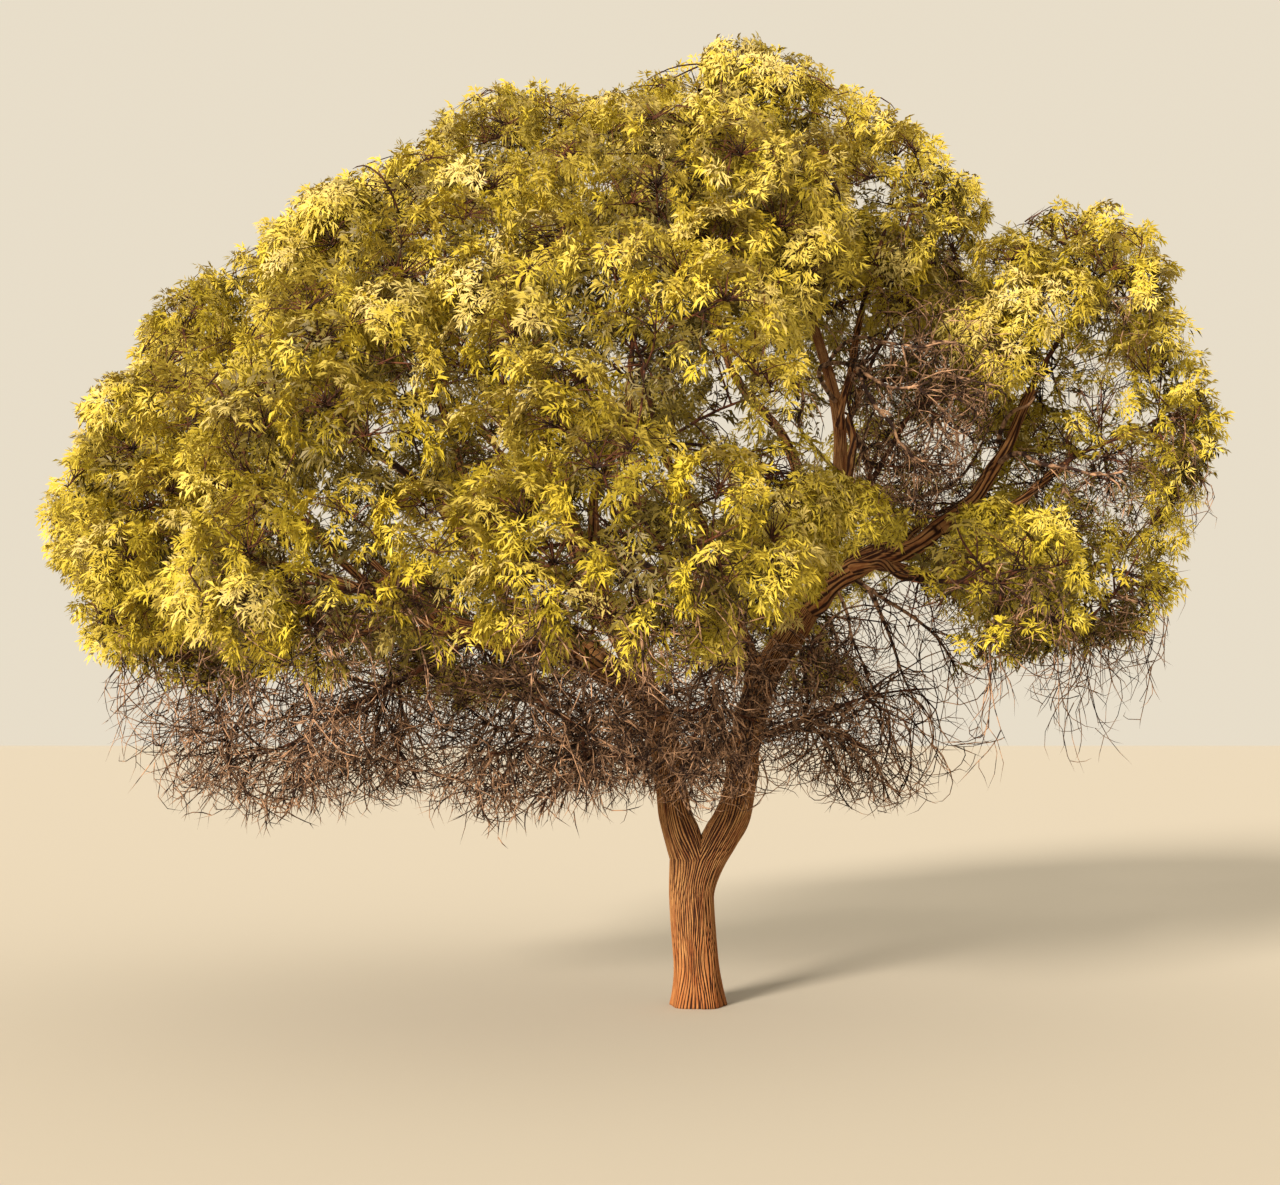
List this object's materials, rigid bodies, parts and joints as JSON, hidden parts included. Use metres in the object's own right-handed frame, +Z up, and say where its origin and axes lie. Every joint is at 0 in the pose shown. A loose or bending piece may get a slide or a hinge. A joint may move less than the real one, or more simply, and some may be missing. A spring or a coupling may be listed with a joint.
{
  "type": "emu apple tree",
  "caption": "Broad, low tree with drooping feathery leaves on a short, deeply furrowed trunk that forks near the ground, over a skirt of dead bare twigs.",
  "frame": {"origin": "middle of the flat cut under the trunk, at ground level", "axes": "+Z up, +X to the right of the tree's front and along its widest spread, +Y away from the front"},
  "size_m": [7.2996, 6.4274, 5.6845],
  "materials": {
    "bark": "rough and deeply furrowed",
    "dead_twigs": "dry and matte",
    "foliage": "slightly waxy"
  },
  "bodies": {
    "root": {"trunk": "bark", "stem_right": "bark", "stem_left": "bark", "bough_right": "bark", "bough_left": "bark", "bough_front_left": "bark", "bough_front": "bark", "bough_back": "bark", "bough_back_left": "bark", "bough_far_left": "bark", "bough_shoulder_front": "bark", "bough_shoulder_front_left": "bark", "bough_shoulder_back_left": "bark", "bough_crown_back": "bark", "bough_shoulder_back_right": "bark", "bough_shoulder_right": "bark", "bough_right_tip": "bark", "bough_right_low": "bark", "bough_front_right_low": "bark", "bough_back_right": "bark", "bough_shoulder_left": "bark", "bough_left_tip": "bark", "bough_low_left": "bark", "bough_low_front_left": "bark", "bough_low_front": "bark", "bough_low_back_left": "bark", "bough_low_back_right": "bark", "foliage_crown_top": "foliage", "foliage_crown_top_left": "foliage", "foliage_crown_top_back": "foliage", "foliage_shoulder_right": "foliage", "foliage_shoulder_front": "foliage", "foliage_shoulder_front_left": "foliage", "foliage_shoulder_left": "foliage", "foliage_shoulder_far_left": "foliage", "foliage_shoulder_back_left": "foliage", "foliage_shoulder_back_right": "foliage", "foliage_right_lobe": "foliage", "foliage_right_tip": "foliage", "foliage_right_low": "foliage", "foliage_front_right_low": "foliage", "foliage_back_right": "foliage", "foliage_front": "foliage", "foliage_front_left": "foliage", "foliage_left": "foliage", "foliage_left_tip": "foliage", "foliage_back_left": "foliage", "foliage_back": "foliage", "foliage_low_front": "foliage", "foliage_low_front_left": "foliage", "foliage_low_left": "foliage", "foliage_low_back_left": "foliage", "foliage_low_back_right": "foliage", "bare_left": "dead_twigs", "bare_middle": "dead_twigs", "bare_front": "dead_twigs", "bare_right": "dead_twigs", "bare_back": "dead_twigs", "bare_open": "dead_twigs"}
  },
  "joints": []
}
